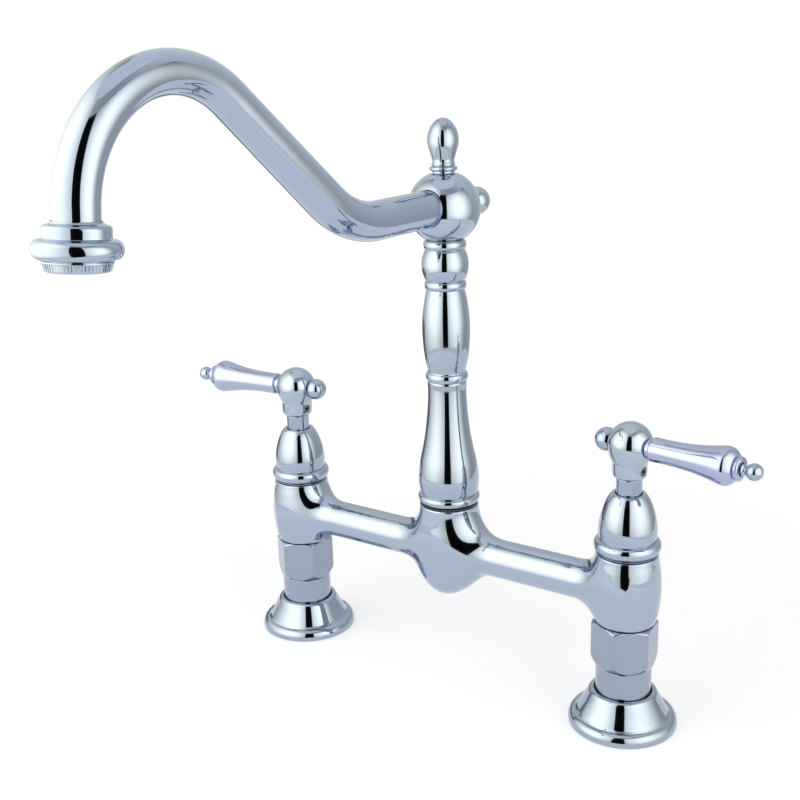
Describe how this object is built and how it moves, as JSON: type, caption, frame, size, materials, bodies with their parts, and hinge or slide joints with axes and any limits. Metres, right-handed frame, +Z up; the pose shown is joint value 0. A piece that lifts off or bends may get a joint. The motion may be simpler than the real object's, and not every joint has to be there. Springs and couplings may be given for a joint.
{
  "type": "bridge kitchen faucet",
  "caption": "Deck-mounted bridge kitchen faucet: two lever valves joined by a bridge, with a swivelling gooseneck spout on a turned column.",
  "frame": {"origin": "on the deck plane, midway between the two valve axes", "axes": "+X along the bridge to the user's right, the spout points to -Y, +Z up out of the deck"},
  "size_m": [0.3347, 0.2806, 0.376],
  "materials": {
    "chrome": "mirror-polished chrome plate on brass",
    "chrome_shank": "chrome plate above the deck, bare threads below",
    "lever_chrome": "mirror-polished chrome plate, slightly paler",
    "aerator_chrome": "polished chrome, knurled",
    "lock_nut_brass": "bare turned brass",
    "inner_brass": "bare turned brass",
    "cartridge_brass": "nickel-washed brass",
    "screw_steel": "stainless, dry",
    "gasket_rubber": "matt black rubber",
    "seal_rubber": "matt black rubber",
    "fibre": "pressed fibre",
    "washer_nylon": "moulded nylon",
    "aerator_plastic": "moulded plastic",
    "ceramic": null
  },
  "bodies": {
    "bridge": {"left_deck_flange": "chrome", "left_deck_gasket": "gasket_rubber", "left_deck_shank": "chrome_shank", "left_deck_washer": "washer_nylon", "left_lock_nut": "lock_nut_brass", "left_union_nut": "chrome", "left_union_ring": "inner_brass", "left_union_washer": "fibre", "left_seat_seal": "seal_rubber", "left_cartridge_body": "cartridge_brass", "left_fixed_disc": "ceramic", "left_bonnet": "chrome", "right_deck_flange": "chrome", "right_deck_gasket": "gasket_rubber", "right_deck_shank": "chrome_shank", "right_deck_washer": "washer_nylon", "right_lock_nut": "lock_nut_brass", "right_union_nut": "chrome", "right_union_ring": "inner_brass", "right_union_washer": "fibre", "right_seat_seal": "seal_rubber", "right_cartridge_body": "cartridge_brass", "right_fixed_disc": "ceramic", "right_bonnet": "chrome", "bridge_body": "chrome", "swivel_washer": "washer_nylon", "spout_grub_screw": "screw_steel"},
    "spout": {"spout_column": "chrome", "o_ring_lower": "seal_rubber", "o_ring_upper": "seal_rubber", "spout_ball": "chrome", "finial": "chrome", "rear_button": "chrome", "spout_tube": "chrome", "outlet_collar": "chrome", "aerator_washer": "seal_rubber", "aerator_housing": "aerator_chrome", "aerator_screen": "aerator_plastic"},
    "left_handle": {"left_cartridge_stem": "inner_brass", "left_moving_disc": "ceramic", "left_handle_hub": "chrome", "left_lever": "lever_chrome", "left_lever_tip": "chrome", "left_hub_button": "chrome", "left_set_screw": "screw_steel"},
    "right_handle": {"right_cartridge_stem": "inner_brass", "right_moving_disc": "ceramic", "right_handle_hub": "chrome", "right_lever": "lever_chrome", "right_lever_tip": "chrome", "right_hub_button": "chrome", "right_set_screw": "screw_steel"}
  },
  "joints": [
    {"name": "spout_swivel", "type": "hinge", "parent": "bridge", "child": "spout", "pos_m": [0, 0, 0.0982], "axis": [0, 0, 1], "continuous": true},
    {"name": "left_handle_turn", "type": "hinge", "parent": "bridge", "child": "left_handle", "pos_m": [-0.1016, 0, 0.1309], "axis": [0, 0, 1], "range_deg": [0, 90]},
    {"name": "right_handle_turn", "type": "hinge", "parent": "bridge", "child": "right_handle", "pos_m": [0.1016, 0, 0.1309], "axis": [0, 0, -1], "range_deg": [0, 90]}
  ]
}
